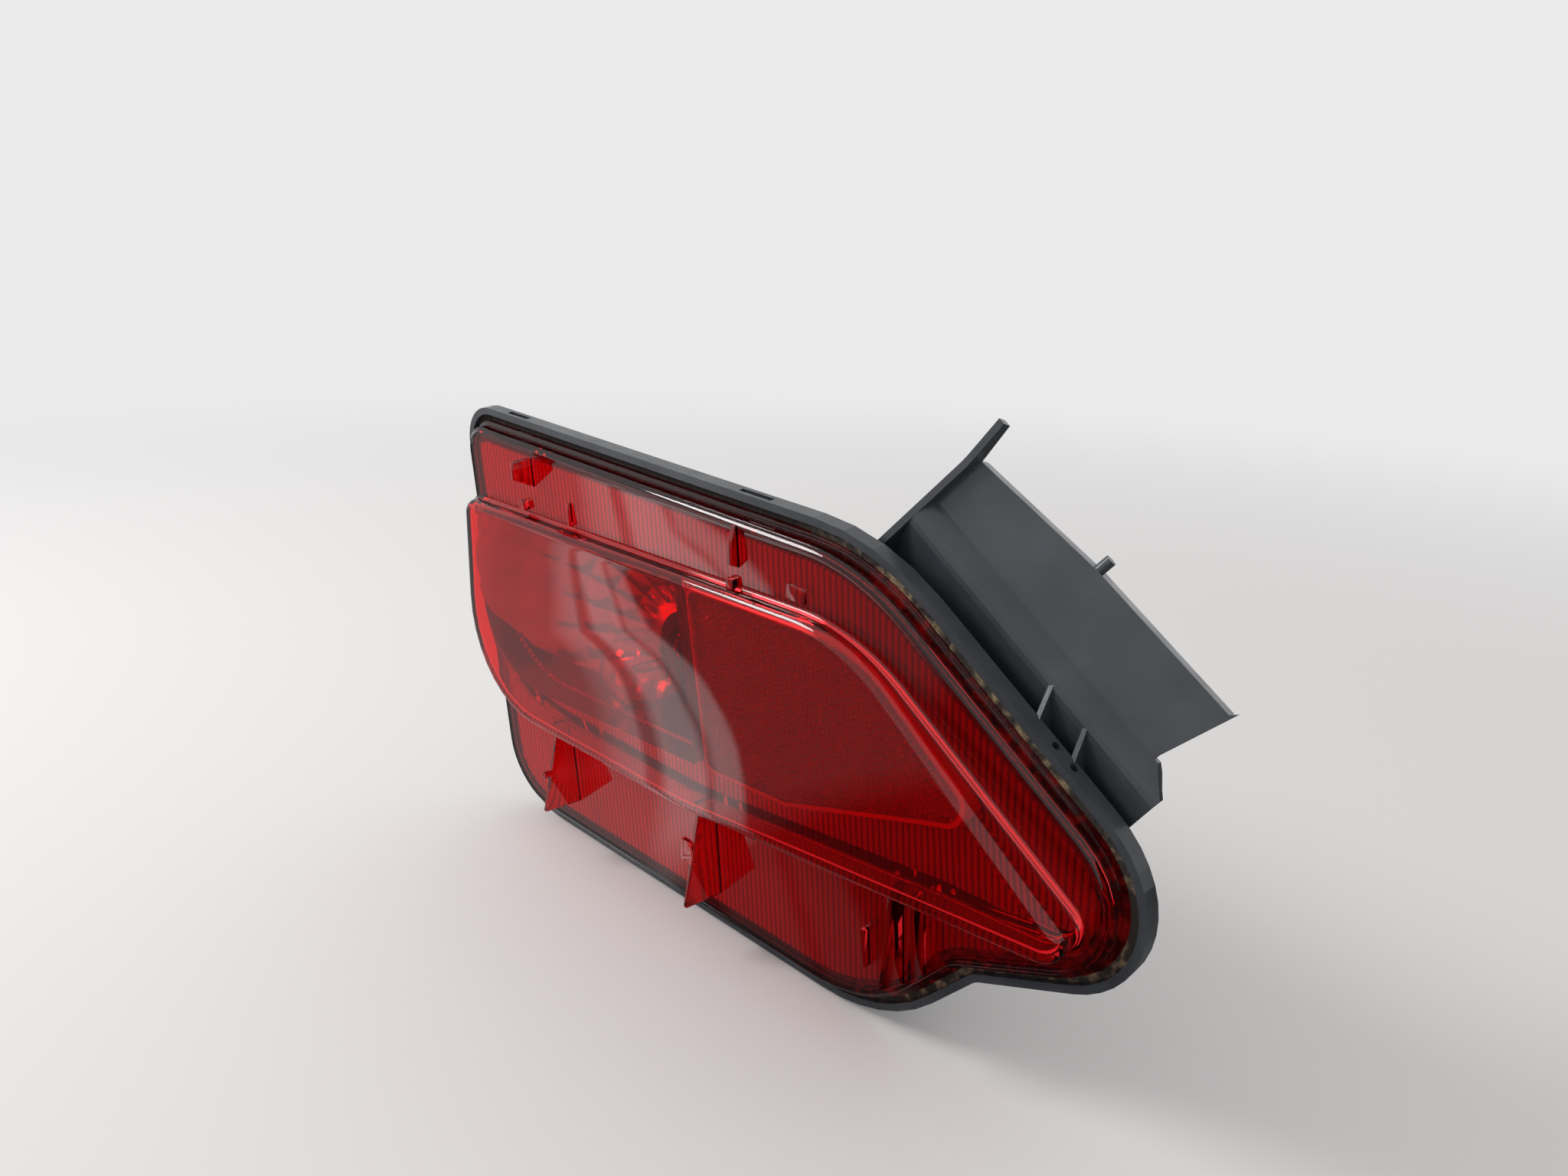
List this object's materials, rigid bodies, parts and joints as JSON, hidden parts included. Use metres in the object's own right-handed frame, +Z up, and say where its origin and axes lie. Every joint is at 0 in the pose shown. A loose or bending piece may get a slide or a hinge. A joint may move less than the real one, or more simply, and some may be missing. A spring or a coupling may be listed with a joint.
{
  "type": "rear bumper lamp",
  "caption": "Rear bumper lamp with a red lens, raised window, mirrored bulb chamber, reflex panel, grey housing with a side wing, and a push-and-turn bulb in a twist-out holder.",
  "frame": {"origin": "root of the locating pin on the back of the housing, on the pin's axis", "axes": "+X along the lamp towards its rounded tip, to the right as seen from the front; +Y into the car, away from the lens, along the locating pin; +Z up"},
  "size_m": [0.2658, 0.0891, 0.1726],
  "materials": {
    "lens_red": "deep red clear PMMA, polished, fine vertical flutes on the plain strips",
    "housing_grey": "blue-grey PP with a fine moulded grain",
    "sealant_tan": "tan butyl sealant, dusty on the open edge",
    "aluminised": "aluminised PC, lobed facets",
    "zinc_steel": "zinc-plated steel",
    "bezel_red": "red PMMA with vertical flutes",
    "reflex_red": "red PMMA with cube-corner prisms on its back",
    "backing_white": "white ABS tray welded over the prisms",
    "bulb_clear": "clear soda-lime glass",
    "bulb_stem_glass": "pressed glass stem",
    "nickel_wire": "nickel-plated iron wire",
    "tungsten": "coiled tungsten",
    "cap_brass": "nickel-washed brass shell",
    "cap_vitrite": "black glass insulator",
    "solder": "solder button",
    "pin_brass": "brass",
    "holder_black": "black glass-filled PA",
    "shell_steel": "tinned steel sleeve",
    "gasket_rubber": "black EPDM foam rubber",
    "plunger_brass": "tinned brass",
    "spring_steel": "spring steel wire",
    "terminal_tin": "tinned brass strip",
    "vent_rubber": "black EPDM",
    "vent_ptfe": "white PTFE breather film"
  },
  "bodies": {
    "lamp": {"outer_lens": "lens_red", "housing": "housing_grey", "lens_sealant": "sealant_tan", "reflector": "aluminised", "reflector_screws": "zinc_steel", "fluted_bezel": "bezel_red", "reflex_panel": "reflex_red", "reflex_backing": "backing_white", "vent_cap": "vent_rubber", "vent_membrane": "vent_ptfe"},
    "holder": {"holder_body": "holder_black", "holder_shell": "shell_steel", "holder_gasket": "gasket_rubber", "contact_spring": "spring_steel", "live_terminal": "terminal_tin", "earth_terminal": "terminal_tin"},
    "bulb": {"bulb_glass": "bulb_clear", "bulb_stem": "bulb_stem_glass", "bulb_leads": "nickel_wire", "bulb_filament": "tungsten", "bulb_cap": "cap_brass", "bulb_insulator": "cap_vitrite", "bulb_contact": "solder", "bulb_pins": "pin_brass"},
    "plunger": {"contact_plunger": "plunger_brass"}
  },
  "joints": [
    {"name": "holder_twist", "type": "hinge", "parent": "lamp", "child": "holder", "pos_m": [-0.08, 0.01758, -0.01], "axis": [0, 1, 0], "range_deg": [0, 45]},
    {"name": "bulb_push", "type": "slide", "parent": "holder", "child": "bulb", "axis": [0, 1, 0], "range_m": [0, 0.0015], "stiffness_N_per_m": 4000, "springref_m": -0.002},
    {"name": "plunger_push", "type": "slide", "parent": "holder", "child": "plunger", "axis": [0, 1, 0], "range_m": [0, 0.0015], "deforming": ["contact_spring"]}
  ],
  "couplings": [
    {"joint": "plunger_push", "follows": "bulb_push", "ratio": 1}
  ]
}
